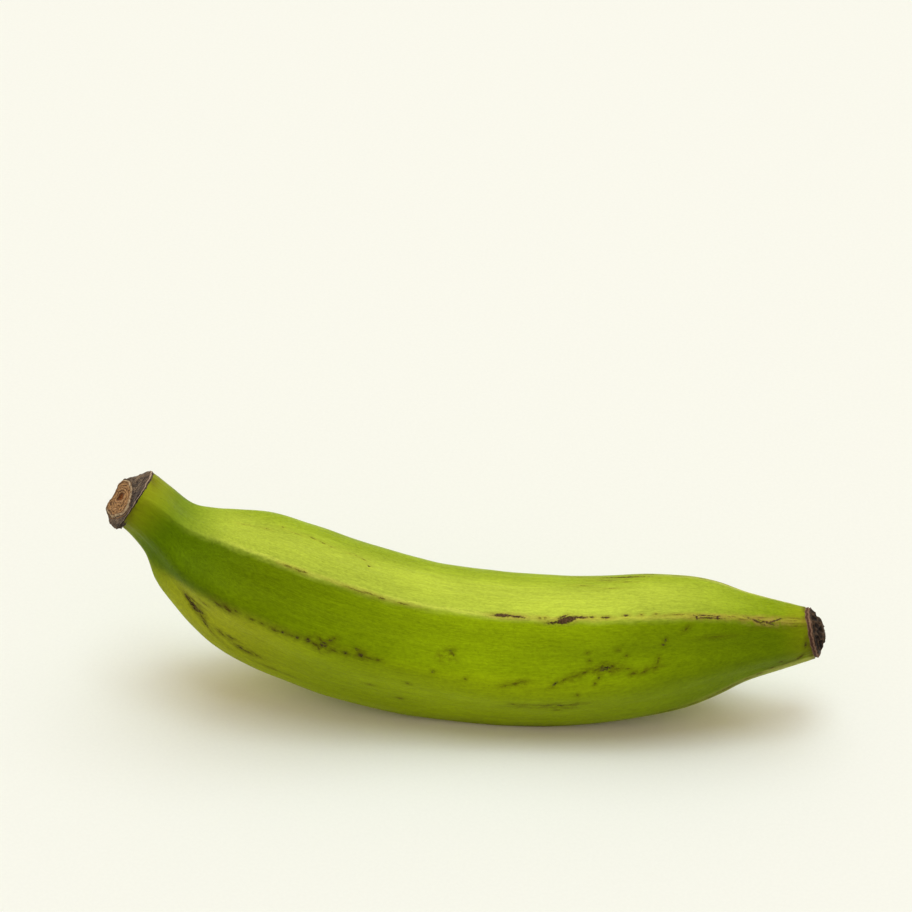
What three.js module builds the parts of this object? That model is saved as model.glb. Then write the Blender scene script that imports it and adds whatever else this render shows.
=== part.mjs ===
// One green plantain, cut from its hand and resting on its belly. It grew as one piece, so it is one solid:
// the angular fruit with its neck, the dried cut stalk at one end and the dried blossom scar at the other.
// Millimetres and degrees. +X runs from the stalk to the blossom end, +Z is up, and the surface is at z = 0.
import * as THREE from "three";

// Driving dimensions
const FRUIT_LENGTH = 244; // from the cut to the end of the green skin, measured along the spine
const COLLAR_AT = 6; // where the dried stalk bark ends and the green neck begins
const CUT_HALF_WIDTH = 8.5;
const SCAR_HALF_WIDTH = 8.1;
const SCAR_HEIGHT = 4.8; // how far the dried blossom remnant stands out of its ring
const LIP = 0.5; // how far the dry rims stand proud of the skin
const LIP_WIDTH = 0.8;
const FULL_HALF_WIDTH = 26.6; // over the ridges, where the fruit is thickest
const LEAN = 7.5; // the fruit leans back onto its bottom facet
const REST_DEPTH = 1.2; // how far the belly is flattened where it rests

// The tables below give a value at distances along the spine from the cut, in [distance, value] pairs.

// Heading of the spine above the horizontal
const SPINE_HEADING = [
  [0, -23], [6, -28], [14, -42.5], [25, -44], [36, -36], [49, -28], [65, -22.8], [83, -17.6], [108, -10.4],
  [143, -0.5], [178, 9.5], [198, 11.5], [223, 5.5], [250, 9],
];

// How far a section's middle lies above the spine: both dried ends sit off centre
const CENTRE_RISE = [
  [0, -4], [COLLAR_AT, 0], [9, 0], [12, 0], [236, 0], [240, 0], [FRUIT_LENGTH, 0.1], [250, 0.6],
];

// How a section is turned out of square to the spine: the knife's slant at the cut, and the slant of the scar
const SIDE_TILT = [[0, -20], [COLLAR_AT, -6], [20, 0], [28, 0]];
const RISE_TILT = [[0, -6], [COLLAR_AT, 0], [17, 0], [217, 0], [230, 0], [FRUIT_LENGTH, 8]];

// How far a section dips toward the cut on one side: the collar runs aslant round the neck
const COLLAR_DIP = [[0, 0], [COLLAR_AT, 3.6], [12, 1.6], [18, 0], [22, 0]];
const COLLAR_DIP_TOWARD = 335;

// Half width over the ridges
const HALF_WIDTH = [
  [0, 9.6], [6, 9.9], [12, 10.6], [21, 12.1], [34, 18.7], [48, 23.9], [63, 26], [83, FULL_HALF_WIDTH],
  [103, 26.2], [143, 25.9], [163, 25.4], [180, 24.2], [198, 22], [212, 18.8], [224, 14.4], [236, 10.8],
  [FRUIT_LENGTH, 8.5],
];

// The five ridges: each one's direction round the spine (0 is toward -Y and 90 is up), its height as a share
// of the half width, and how soft its edge is (1 is crisp, 2 is round)
const RIDGES = [
  {
    angle: [
      [0, 42], [17, 39], [31, 50], [46, 52], [73, 53], [100, 54], [122, 54.7], [143, 54.4], [165, 53.1],
      [186, 51.6], [205, 50.3], [244, 53],
    ],
    height: [[0, 1]],
    soft: 1.15,
  },
  {
    angle: [[0, 128]],
    height: [
      [0, 1.05], [6, 1.09], [11, 0.98], [18, 0.92], [26, 0.99], [34, 1], [42, 1], [64, 1.004],
      [84, 1.016], [96, 1.018], [112, 1.018], [124, 1.014], [140, 1.002], [148, 1], [158, 1],
      [172, 1.012], [195, 1.035], [210, 1.025], [226, 1], [236, 1], [244, 1],
    ],
    soft: 1.3,
  },
  { angle: [[0, 222], [244, 224]], height: [[0, 1]], soft: 1.4 },
  {
    angle: [[0, 300], [244, 298]],
    height: [
      [0, 1], [6, 0.99], [12, 1.02], [18, 1.05], [25, 1.12], [33, 1.02], [41, 1], [49, 1], [155, 1], [170, 1],
      [210, 1.035], [244, 1.02],
    ],
    soft: 1.25,
  },
  {
    angle: [[0, 341], [21, 346], [37, 361], [98, 366], [158, 350], [244, 348]],
    height: [[0, 1], [128, 0.99], [188, 0.95], [244, 0.96]],
    soft: 1.7,
  },
];

// How flat the facets are between the ridges: 0 is round and 1 is a straight line from ridge to ridge
const FLATNESS = [
  [0, 0.15], [6, 0.35], [20, 0.9], [43, 0.85], [78, 0.72], [178, 0.72], [218, 0.7], [236, 0.45], [244, 0.1],
];
const BELLY_FACET = 2; // the facet after this ridge is the one that it rests on
const BELLY_FLATNESS = [
  [0, 0.15], [28, 0.8], [78, 0.6], [103, 0.45], [123, 0.6], [148, 0.85], [173, 0.9], [218, 0.7], [244, 0.1],
];

// Slow swells and dents of the skin: height, how many waves along the fruit and round it, and phase
const SWELLS = [
  { height: 0.2, along: 3.1, round: 1, phase: 0.4 },
  { height: 0.13, along: 5.3, round: 2, phase: 2.1 },
  { height: 0.07, along: 8.7, round: 3, phase: 4.0 },
];

// Loops of the two ends. Cut face: share of its half width, and depth. Bark: distance from the cut, and how
// far it has grown to the neck's section. Scar: share of its half width, and height above the skin's end.
const CUT_FACE = [[0.12, 0.9], [0.28, 0.1], [0.6, 0.25], [0.9, 0], [1, 0.5]];
const BARK = [[1.2, 0.2], [2.8, 0.5], [4.2, 0.8]];
const SCAR_RING = [[1.02, 0.4], [1.05, 1], [0.94, 1.7]];
const SCAR_DOME = [[0.8, 2.1], [0.6, 3.3], [0.36, 4.2], [0.14, SCAR_HEIGHT]];

// Lobes of the two dried ends: height as a share of the half width, how many round the end, and phase
const CUT_LOBES = [
  { height: 0.05, round: 3, phase: 1.1 },
  { height: 0.035, round: 5, phase: 0.4 },
];
const SCAR_LOBES = [
  { height: 0.09, round: 3, phase: 2.2 },
  { height: 0.06, round: 7, phase: 0 },
];

// Fineness of the mesh
const SIDES_PER_FACET = 8;
const SKIN_STEP = 4;
const SPINE_STEP = 0.5;

const radians = THREE.MathUtils.degToRad;
const mix = THREE.MathUtils.lerp;

// The value at distance s of a smooth curve through [distance, value] pairs.
function along(pairs, s) {
  const last = pairs.length - 1;
  if (s <= pairs[0][0]) return pairs[0][1];
  if (s >= pairs[last][0]) return pairs[last][1];
  const rise = (i) => (pairs[i + 1][1] - pairs[i][1]) / (pairs[i + 1][0] - pairs[i][0]);
  const slope = (i) => {
    if (i === 0) return rise(0);
    if (i === last) return rise(last - 1);
    const before = pairs[i][0] - pairs[i - 1][0];
    const after = pairs[i + 1][0] - pairs[i][0];
    return (rise(i - 1) * after + rise(i) * before) / (before + after);
  };
  const i = pairs.findIndex((pair) => pair[0] > s) - 1;
  const span = pairs[i + 1][0] - pairs[i][0];
  const t = (s - pairs[i][0]) / span;
  const t2 = t * t;
  const t3 = t2 * t;
  return (
    (2 * t3 - 3 * t2 + 1) * pairs[i][1] +
    (t3 - 2 * t2 + t) * span * slope(i) +
    (3 * t2 - 2 * t3) * pairs[i + 1][1] +
    (t3 - t2) * span * slope(i + 1)
  );
}

// The spine: points every SPINE_STEP, found by walking along its heading.
function walkSpine() {
  const points = [{ x: 0, z: 0 }];
  for (let s = 0; s < FRUIT_LENGTH + SCAR_HEIGHT; s += SPINE_STEP) {
    const heading = radians(along(SPINE_HEADING, s + SPINE_STEP / 2));
    const from = points[points.length - 1];
    points.push({ x: from.x + SPINE_STEP * Math.cos(heading), z: from.z + SPINE_STEP * Math.sin(heading) });
  }
  return points;
}

const spine = walkSpine();

function spineAt(s) {
  const at = THREE.MathUtils.clamp(s / SPINE_STEP, 0, spine.length - 1.001);
  const i = Math.floor(at);
  return {
    x: mix(spine[i].x, spine[i + 1].x, at - i),
    z: mix(spine[i].z, spine[i + 1].z, at - i),
    heading: radians(along(SPINE_HEADING, s)),
  };
}

// Direction and radius of the skin at distance s, a share t of the way from one ridge to the next.
function skinPoint(s, facet, t) {
  const next = (facet + 1) % RIDGES.length;
  const turn = next === 0 ? 360 : 0;
  const from = along(RIDGES[facet].angle, s);
  const to = along(RIDGES[next].angle, s) + turn;
  const angle = radians(mix(from, to, t));
  const eased = t * t * (3 - 2 * t);
  const ridge = mix(along(RIDGES[facet].height, s), along(RIDGES[next].height, s), eased);
  const soft = mix(RIDGES[facet].soft, RIDGES[next].soft, eased);
  const flatness = along(facet === BELLY_FACET ? BELLY_FLATNESS : FLATNESS, s);
  const hollow = flatness * (1 - Math.cos(radians(to - from) / 2));
  const waves = (sum, w) => sum + w.height * Math.sin(wavesAlong(w, s) + w.round * angle + w.phase);
  const halfWidth = along(HALF_WIDTH, s);
  const swell = (SWELLS.reduce(waves, 0) * halfWidth) / FULL_HALF_WIDTH;
  return { angle, radius: halfWidth * (ridge - hollow * Math.sin(Math.PI * t) ** soft) + swell };
}

function wavesAlong(wave, s) {
  return (2 * Math.PI * wave.along * s) / FRUIT_LENGTH;
}

function lobed(lobes, angle) {
  return lobes.reduce((sum, lobe) => sum + lobe.height * Math.sin(lobe.round * angle + lobe.phase), 1);
}

// A loop of points round the spine. radiusOf turns the skin's radius into the loop's own, and lift moves the
// loop along the spine.
function ring({ s, radiusOf, lift = 0 }) {
  const at = spineAt(s);
  const sideSlope = Math.tan(radians(along(SIDE_TILT, s)));
  const riseSlope = Math.tan(radians(along(RISE_TILT, s)));
  const centreRise = along(CENTRE_RISE, s);
  const dip = along(COLLAR_DIP, s);
  const points = [];
  for (let facet = 0; facet < RIDGES.length; facet++) {
    for (let k = 0; k < SIDES_PER_FACET; k++) {
      const skin = skinPoint(s, facet, k / SIDES_PER_FACET);
      const radius = radiusOf(skin.radius, skin.angle);
      const side = radius * Math.cos(skin.angle);
      const rise = radius * Math.sin(skin.angle);
      const dipShare = (1 + Math.cos(skin.angle - radians(COLLAR_DIP_TOWARD))) / 2;
      const forward = lift - dip * dipShare - side * sideSlope - rise * riseSlope;
      const up = centreRise + rise;
      points.push([
        at.x + forward * Math.cos(at.heading) - up * Math.sin(at.heading),
        -side,
        at.z + forward * Math.sin(at.heading) + up * Math.cos(at.heading),
      ]);
    }
  }
  return points;
}

// The dried stalk: its cut face, with a raised rim and a sunken core, and its rough bark up to the collar.
function stalkRings() {
  const cutRadius = (angle) => CUT_HALF_WIDTH * lobed(CUT_LOBES, angle);
  const faceRing = ([share, depth]) =>
    ring({ s: 0, lift: depth, radiusOf: (skin, angle) => share * cutRadius(angle) });
  const barkRing = ([s, grown]) =>
    ring({ s, radiusOf: (skin, angle) => mix(cutRadius(angle), skin, grown) + LIP / 2 });
  const collarRing = (s) => ring({ s, radiusOf: (skin) => skin + LIP });
  return [
    ...CUT_FACE.map(faceRing),
    ...BARK.map(barkRing),
    collarRing(COLLAR_AT - LIP_WIDTH),
    collarRing(COLLAR_AT),
  ];
}

function skinRings() {
  const first = COLLAR_AT + LIP;
  const count = Math.round((FRUIT_LENGTH - first) / SKIN_STEP);
  return Array.from({ length: count + 1 }, (_, i) =>
    ring({ s: mix(first, FRUIT_LENGTH, i / count), radiusOf: (skin) => skin }));
}

// The dried blossom scar: a proud ring, then a low crumpled dome.
function scarRings() {
  const edgeRing = ([share, height]) =>
    ring({ s: FRUIT_LENGTH + height, radiusOf: () => share * SCAR_HALF_WIDTH });
  const scarRadius = (angle) => SCAR_HALF_WIDTH * lobed(SCAR_LOBES, angle);
  const domeRing = ([share, height]) =>
    ring({ s: FRUIT_LENGTH + height, radiusOf: (skin, angle) => share * scarRadius(angle) });
  return [...SCAR_RING.map(edgeRing), ...SCAR_DOME.map(domeRing)];
}

function middle(points) {
  return [0, 1, 2].map((axis) => points.reduce((sum, p) => sum + p[axis], 0) / points.length);
}

// One closed skin over all the rings, with a fan at each end.
function loft(rings) {
  const sides = rings[0].length;
  const points = [...rings.flat(), middle(rings[0]), middle(rings[rings.length - 1])];
  const stalkMiddle = points.length - 2;
  const scarMiddle = points.length - 1;
  const faces = [];
  for (let i = 0; i < rings.length - 1; i++) {
    for (let k = 0; k < sides; k++) {
      const a = i * sides + k;
      const b = i * sides + ((k + 1) % sides);
      faces.push(a, a + sides, b, b, a + sides, b + sides);
    }
  }
  const lastRing = (rings.length - 1) * sides;
  for (let k = 0; k < sides; k++) {
    const next = (k + 1) % sides;
    faces.push(stalkMiddle, k, next);
    faces.push(scarMiddle, lastRing + next, lastRing + k);
  }
  return new THREE.BufferGeometry()
    .setAttribute("position", new THREE.Float32BufferAttribute(points.flat(), 3))
    .setIndex(faces);
}

// Leans the fruit back, flattens its belly where it rests, and puts the middle of its base at the origin.
function setDown(geometry) {
  geometry.rotateX(-radians(LEAN));
  geometry.computeBoundingBox();
  const surface = geometry.boundingBox.min.z + REST_DEPTH;
  const position = geometry.getAttribute("position");
  for (let i = 0; i < position.count; i++) position.setZ(i, Math.max(position.getZ(i), surface));
  geometry.computeBoundingBox();
  const centre = geometry.boundingBox.getCenter(new THREE.Vector3());
  return geometry.translate(-centre.x, -centre.y, -surface);
}

const geometry = setDown(loft([...stalkRings(), ...skinRings(), ...scarRings()]));
const peel = new THREE.MeshStandardMaterial({ color: 0x7fa51e, roughness: 0.5, metalness: 0 });
const plantain = new THREE.Mesh(geometry, peel);
plantain.name = "plantain";

const fruit = new THREE.Group();
fruit.add(plantain);
export default fruit;
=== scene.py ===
"""One green plantain resting on a pale table: its peel, its dried cut stalk and its dried blossom scar.

The fruit is shaped in millimetres and degrees, as loops of points round a curved spine, and laid down where the
frame has it, in metres. +X runs from the stalk to the blossom end, the front is toward -Y, and +Z is up.
"""

import math

import bpy
import numpy as np
from mathutils import Matrix, Vector, noise


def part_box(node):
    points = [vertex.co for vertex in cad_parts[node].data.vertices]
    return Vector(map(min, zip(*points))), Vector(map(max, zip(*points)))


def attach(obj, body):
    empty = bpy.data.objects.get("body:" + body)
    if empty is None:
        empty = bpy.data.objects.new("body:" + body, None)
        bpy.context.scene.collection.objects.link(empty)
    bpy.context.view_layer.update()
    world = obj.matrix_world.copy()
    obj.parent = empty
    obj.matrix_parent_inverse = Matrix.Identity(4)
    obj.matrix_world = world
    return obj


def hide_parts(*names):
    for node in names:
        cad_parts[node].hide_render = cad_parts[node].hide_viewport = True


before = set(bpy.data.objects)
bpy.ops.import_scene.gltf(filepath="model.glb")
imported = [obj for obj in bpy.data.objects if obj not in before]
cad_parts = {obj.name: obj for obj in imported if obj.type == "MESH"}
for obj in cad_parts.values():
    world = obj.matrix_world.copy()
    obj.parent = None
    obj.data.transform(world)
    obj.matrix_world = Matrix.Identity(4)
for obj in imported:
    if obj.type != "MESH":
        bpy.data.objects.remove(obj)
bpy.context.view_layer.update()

NODE = "plantain"
MM = 0.001

# Driving dimensions of the fruit, as in the solid
FRUIT_LENGTH = 244
COLLAR_AT = 6
CUT_HALF_WIDTH = 8.5
SCAR_HALF_WIDTH = 8.1
SCAR_HEIGHT = 4.8
LIP = 0.5
LIP_WIDTH = 0.8
FULL_HALF_WIDTH = 26.6
LEAN = 7.5
REST_DEPTH = 1.2
SPINE_STEP = 0.5

# Tables of [distance along the spine from the cut, value]
SPINE_HEADING = [
    [0, -23], [6, -28], [14, -42.5], [25, -44], [36, -36], [49, -28], [65, -22.8], [83, -17.6], [108, -10.4],
    [143, -0.5], [178, 9.5], [198, 11.5], [223, 5.5], [250, 9],
]
CENTRE_RISE = [
    [0, -4], [COLLAR_AT, 0], [9, 0], [12, 0], [236, 0], [240, 0], [FRUIT_LENGTH, 0.1], [250, 0.6],
]
SIDE_TILT = [[0, -20], [COLLAR_AT, -6], [20, 0], [28, 0]]
RISE_TILT = [[0, -6], [COLLAR_AT, 0], [17, 0], [217, 0], [230, 0], [FRUIT_LENGTH, 8]]
COLLAR_DIP = [[0, 0], [COLLAR_AT, 3.6], [12, 1.6], [18, 0], [22, 0]]
COLLAR_DIP_TOWARD = 335
HALF_WIDTH = [
    [0, 9.6], [6, 9.9], [12, 10.6], [21, 12.1], [34, 18.7], [48, 23.9], [63, 26], [83, FULL_HALF_WIDTH],
    [103, 26.2], [143, 25.9], [163, 25.4], [180, 24.2], [198, 22], [212, 18.8], [224, 14.4], [236, 10.8],
    [FRUIT_LENGTH, 8.5],
]

# The five ridges: direction round the spine (0 is the front and 90 is up), height as a share of the half
# width, and how soft the edge is
CREST = 0
KEEL = 3
RIDGES = [
    {
        "angle": [
            [0, 42], [17, 39], [31, 50], [46, 52], [73, 53], [100, 54], [122, 54.7], [143, 54.4], [165, 53.1],
            [186, 51.6], [205, 50.3], [244, 53],
        ],
        "height": [[0, 1], [244, 1]],
        "soft": 1.15,
    },
    {
        "angle": [[0, 128], [244, 128]],
        "height": [
            [0, 1.05], [6, 1.09], [11, 0.98], [18, 0.92], [26, 0.99], [34, 1], [42, 1], [64, 1.004],
            [84, 1.016], [96, 1.018], [112, 1.018], [124, 1.014], [140, 1.002], [148, 1], [158, 1],
            [172, 1.012], [195, 1.035], [210, 1.025], [226, 1], [236, 1], [244, 1],
        ],
        "soft": 1.3,
    },
    {"angle": [[0, 222], [244, 224]], "height": [[0, 1], [244, 1]], "soft": 1.4},
    {
        "angle": [[0, 300], [244, 298]],
        "height": [
            [0, 1], [6, 0.99], [12, 1.02], [18, 1.05], [25, 1.12], [33, 1.02], [41, 1], [49, 1], [155, 1],
            [170, 1], [210, 1.035], [244, 1.02],
        ],
        "soft": 1.25,
    },
    {
        "angle": [[0, 341], [21, 346], [37, 361], [98, 366], [158, 350], [244, 348]],
        "height": [[0, 1], [128, 0.99], [188, 0.95], [244, 0.96]],
        "soft": 1.7,
    },
]
FLATNESS = [
    [0, 0.15], [6, 0.35], [20, 0.9], [43, 0.85], [78, 0.72], [178, 0.72], [218, 0.7], [236, 0.45], [244, 0.1],
]
BELLY_FACET = 2
BELLY_FLATNESS = [
    [0, 0.15], [28, 0.8], [78, 0.6], [103, 0.45], [123, 0.6], [148, 0.85], [173, 0.9], [218, 0.7], [244, 0.1],
]
# Slow swells of the skin: height, waves along, waves round, phase
SWELLS = [(0.2, 3.1, 1, 0.4), (0.13, 5.3, 2, 2.1), (0.07, 8.7, 3, 4.0)]
# Lobes of the two dried ends: height as a share of the half width, how many, phase
CUT_LOBES = [(0.05, 3, 1.1), (0.035, 5, 0.4)]
SCAR_LOBES = [(0.09, 3, 2.2), (0.06, 7, 0)]
# Share of the cut's half width, and depth
CUT_FACE = [[0, 1.5], [0.1, 1.2], [0.2, 0.5], [0.3, 0.1], [0.6, 0.2], [0.9, 0], [1, 0.5]]
# Distance from the cut, and how far the bark has grown to the neck's section
BARK = [[0, 0], [1.2, 0.2], [2.8, 0.5], [4.2, 0.8], [5.2, 1]]
# Height above the end of the skin, and share of the scar's half width
SCAR_RING = [[0, 1], [0.4, 1.03], [1, 1.05], [1.5, 0.99], [1.8, 0.93]]
SCAR_DOME = [[2.1, 0.8], [3.3, 0.6], [4.2, 0.36], [SCAR_HEIGHT, 0.04]]
# Where the cut face ends, as a share of the way to the bark's edge, in each direction: below, the bark is bevelled
FACE_EDGE = [
    [0, 0.62], [20, 0.74], [45, 0.98], [128, 1], [235, 1], [262, 0.74], [300, 0.54], [340, 0.52], [360, 0.62],
]
BEVEL = 2.2
# The pith sits off the middle of the cut: direction and distance
PITH_TOWARD = 150
PITH_OFF = 3.2
# Split flakes of the cut's edge: direction, height and half width in degrees
FLAKES = [(224, 2.1, 18), (205, 0.6, 30), (300, -0.9, 34), (262, 0.5, 14)]

# Fineness of the mesh: sides of each facet, which are closer together where the fruit is seen best, and loops
SIDES = (60, 28, 24, 36, 54)
SKIN_STEP = 0.62
FACE_LOOPS = 26
BEVEL_LOOPS = 9
BARK_LOOPS = 22
LIP_LOOPS = 5
RING_LOOPS = 12
DOME_LOOPS = 30

# Marks on the skin: distance, direction round the spine, length, width, and turn from the fruit's length.
# Old scabs, nearly black
SCABS = [
    (141, 56, 6.5, 1.4, 0), (146, 55.5, 6, 0.7, -3), (165, 53.5, 8, 2.4, 12), (160.5, 51.5, 5, 0.8, 4),
    (170, 55.2, 5, 0.9, -2), (163.5, 56, 4, 0.8, 25), (174, 55, 1.6, 0.8, 0), (179, 54.5, 2.6, 0.9, 0),
    (186, 56, 1.6, 0.8, 0), (211.2, 52.2, 5.4, 0.5, 0), (212, 49.8, 5, 0.5, 0), (208.4, 50.6, 0.9, 1.2, 0), (214.6, 50.8, 0.8, 1.4, 0),
    (226.5, 50.5, 5.5, 0.6, -18), (230, 49.5, 4.5, 0.6, -12), (233, 53, 5, 0.6, 24),
    (36.4, -31, 3.4, 2, -16), (39.4, -33, 4.6, 2.6, -14), (41.6, -32, 3, 1.6, 10), (45, -40, 3.4, 1, -20),
    (81.2, 8, 2.6, 2, 0), (75.8, 7, 1.6, 1.7, 20), (72.1, 6, 1.4, 1.2, 0), (67, 5, 1.1, 0.9, 0),
    (82.8, 12.5, 1.8, 0.8, 30), (88.9, 7, 1.5, 1.1, 0), (94.1, 8.5, 2, 1.3, -20), (92.3, 12, 1.2, 0.9, 0),
    (177, 11.5, 4, 1.8, 8), (174.5, 4, 1.2, 0.8, 60), (198, 31, 1.4, 0.8, 60), (197, 27, 1, 0.9, 0),
    (160, 2.5, 2.2, 0.9, 35), (161, -19.5, 2.4, 0.7, 0), (184, 118, 13, 0.8, 0), (88.6, 87, 1, 0.8, 0),
    (57.6, -40, 2.6, 1.2, -10), (119, 7, 1, 0.8, 0), (124, 25, 1, 0.7, 0), (242.6, 2, 2.6, 0.8, 70),
]
# Fine corky lines and dots, brown
CORK = [
    (59.5, 52.5, 3, 0.7, 0), (64, 52.5, 3.5, 0.7, -4), (66, 53, 1.4, 0.9, 0), (86, 53, 8, 0.5, -2),
    (91, 53.5, 5, 0.7, 0), (96, 53, 3, 0.8, 0), (104, 53, 4, 0.5, 0), (155, 55, 1.5, 0.8, 0),
    (157, 55, 1.2, 0.7, 0), (191, 55.5, 1, 0.7, 0), (196, 55.5, 1, 0.7, 0), (203, 53.5, 5, 0.6, 0),
    (219, 53, 3, 0.5, 0), (228, 56, 5, 0.5, 8), (222, 51, 3, 0.5, 0),
    (41, -15, 2, 0.6, 10), (44, -2, 3, 0.9, 0), (47.5, 0, 3.4, 1.6, -12), (50, 3, 1.4, 0.8, 0),
    (56, 3, 1.8, 0.9, 0), (59.5, 4, 1.4, 0.7, 0), (64, 3.5, 2, 0.9, 0), (70, 5.5, 2, 0.6, 10),
    (78.4, 6, 2.6, 0.8, -10), (85, 6, 2.4, 0.7, -4), (97, 8, 3, 0.6, 0), (100, 8, 2, 0.8, 0),
    (80, 4, 2, 0.7, -50), (84, 15, 1.4, 0.6, 20), (79.6, 11, 1.6, 0.7, -30),
    (50.6, -36, 3, 0.8, -14), (53.6, -34, 2.4, 0.7, 0), (60.2, -40, 3.4, 0.8, 0), (63.4, -39, 2.6, 0.5, 0),
    (38, -26, 4, 0.7, 14), (43.6, -36, 4, 0.8, -20), (48, -43, 4, 0.5, -16), (70, -47, 4, 0.4, 0),
    (39, 97, 2, 0.5, 0), (48, 96, 1.6, 0.5, 0), (53.6, 104, 1, 0.7, 0), (65.5, 101, 2.6, 0.8, -14),
    (69.5, 99, 2.4, 0.7, -10), (73, 97, 1.4, 0.5, 0), (59, 100, 3, 0.4, -3), (86, 95, 2.4, 0.6, -20),
    (80.5, 96, 1.2, 0.4, -10), (83, 97, 1.2, 0.5, 0),
    (125, 22, 2, 0.6, -50), (130, 5, 0.9, 0.7, 0), (111.5, -8, 1.2, 0.7, 0), (99.6, -21, 1.6, 0.7, 0),
    (110, -33, 1.4, 0.8, 0), (143.5, 1, 1.6, 0.5, 8), (146.6, 3, 1.8, 0.9, 14), (149, 4.5, 2, 0.5, 0),
    (163, 5.5, 2.4, 0.6, 25), (166.6, 8, 1.8, 0.5, 18), (170, 10, 2.2, 0.7, 18), (174, 11.5, 1.4, 0.7, 10),
    (176, 14, 1.8, 0.9, 50), (179.5, 13, 1.6, 0.8, -40), (181, 10.5, 2, 0.6, 0), (178.4, 8.6, 1.2, 0.8, 0),
    (173, 0, 1.4, 0.9, 40), (184.5, 9, 1.4, 0.7, 0), (186, 4, 1.8, 0.9, 6), (189.6, 4, 2, 0.6, 14),
    (193.6, 6, 1.6, 0.7, 10), (194.5, 11, 1.6, 0.6, 80), (195, 14, 1.2, 0.7, 80),
    (171.5, 27, 0.9, 0.7, 0), (172, 20, 0.9, 0.7, 0), (182, 27, 1, 0.7, 0), (184.5, 21, 1, 0.8, 0),
    (167, -8, 0.9, 0.7, 0), (146, -17, 2, 0.8, 0), (149.4, -17.5, 2, 0.5, 0), (156, -18, 3.4, 0.5, 0),
    (164.4, -19, 2.4, 0.6, 4), (163, -24, 1.8, 0.6, 0), (160, -27, 1.6, 0.6, 0), (149, -21, 2.4, 0.4, 0),
    (205, 40, 2, 0.7, 40), (214, 30, 3, 0.4, 0),
    (178, 112, 5, 0.5, 0), (186, 109, 4, 0.5, 0), (170, 104, 3, 0.5, 0), (180, 99, 3, 0.4, 0),
    (155, -59, 13, 0.8, 0), (168, -60, 7, 0.5, 0), (194, -56, 9, 0.7, 0), (203, -57, 5, 0.6, 0),
    (209, -57, 4, 0.7, 0), (216, -54, 9, 0.9, 2), (223, -51, 3, 0.7, 0), (227, -48, 2, 0.7, 0),
    (231, -42, 1.6, 0.8, 0), (234, -29, 1.4, 1.2, 0), (236, -38, 4, 0.6, 20), (240, -28, 4, 1.2, 40),
    (239, 50, 5, 0.35, 0), (240, 56, 5, 0.35, 4), (240, 62, 4, 0.35, 0), (240.5, 45, 4, 0.35, 0),
]
# Paler bruised skin round the larger scabs
BRUISES = [
    (211, 51, 13, 2.6, 0), (166, 53.5, 16, 2.8, 6), (144, 56, 16, 3, 0), (230, 51, 18, 5, 0),
    (40, -32, 13, 6, -16), (52, -35, 9, 4, 0), (60, -40, 11, 4, 0), (46, 0, 11, 5, -8), (66, 5, 11, 4, 0),
    (80, 8, 15, 7, 0), (93, 9, 11, 5, 0), (177, 11, 16, 6, 0), (190, 5, 14, 4, 8), (160, -20, 24, 5, 0),
    (123, 21, 9, 6, 20), (166, 7, 14, 4, 20), (147, 3, 10, 3, 8),
]

# The camera of the picture: direction and distance of the view, where the point it is set out from falls in
# the picture, and the real size of a picture point there
PICTURE_SIZE = 912
VIEW_AZIMUTH = 5
VIEW_ELEVATION = 38
VIEW_DISTANCE = 1.2
SET_OUT_HEIGHT = 25
SET_OUT_PIXEL = (462, 639)
MM_PER_PIXEL = 0.336
SENSOR_WIDTH = 36
# Lights: name, direction from the front, height in the sky, width in degrees, strength, colour, and what it lights
LIGHTS = [
    ("overhead", 0, 90, 62, 2.3, (0.98, 1.0, 1.04), "fruit"),
    ("left", 270, 45, 22, 0.66, (1.0, 0.89, 0.6), "fruit"),
    ("right", 90, 45, 22, 0.5, (1.0, 0.89, 0.6), "fruit"),
    ("back_right", 135, 45, 22, 0.34, (1.0, 0.89, 0.6), "fruit"),
    ("low_left", 225, 15, 24, 1.3, (1.0, 0.92, 0.7), "fruit"),
    ("low_right", 135, 15, 24, 0.6, (1.0, 0.92, 0.7), "fruit"),
    ("dome", 0, 90, 170, 2.0, (1.0, 0.82, 0.66), "floor"),
    ("above", 0, 90, 34, 0.82, (0.81, 0.99, 1.09), "floor"),
    ("behind", 180, 66, 46, 0.62, (0.81, 0.99, 1.09), "floor"),
    ("behind_right", 135, 62, 46, 0.26, (0.81, 0.99, 1.09), "floor"),
]


def along(pairs, s):
    """The values at distances s of a smooth curve through the pairs."""
    x, y = np.array(pairs, float).T
    gap = np.diff(x)
    rise = np.diff(y) / gap
    inner = (rise[:-1] * gap[1:] + rise[1:] * gap[:-1]) / (gap[:-1] + gap[1:])
    slope = np.concatenate([rise[:1], inner, rise[-1:]])
    s = np.clip(s, x[0], x[-1])
    i = np.clip(np.searchsorted(x, s, side="right") - 1, 0, len(gap) - 1)
    t = (s - x[i]) / gap[i]
    return (
        (2 * t**3 - 3 * t**2 + 1) * y[i]
        + (t**3 - 2 * t**2 + t) * gap[i] * slope[i]
        + (3 * t**2 - 2 * t**3) * y[i + 1]
        + (t**3 - t**2) * gap[i] * slope[i + 1]
    )


def mix(a, b, t):
    return a + (b - a) * t


def smooth(value, low, high):
    """0 below low, 1 above high, and a smooth rise between."""
    t = np.clip((value - low) / (high - low), 0, 1)
    return t * t * (3 - 2 * t)


def walk_spine():
    """Points of the spine, found by walking along its heading."""
    steps = np.arange(0, FRUIT_LENGTH + SCAR_HEIGHT, SPINE_STEP)
    heading = np.radians(along(SPINE_HEADING, steps + SPINE_STEP / 2))
    x = np.concatenate([[0], np.cumsum(SPINE_STEP * np.cos(heading))])
    z = np.concatenate([[0], np.cumsum(SPINE_STEP * np.sin(heading))])
    return np.arange(len(x)) * SPINE_STEP, x, z


SPINE = walk_spine()


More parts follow.
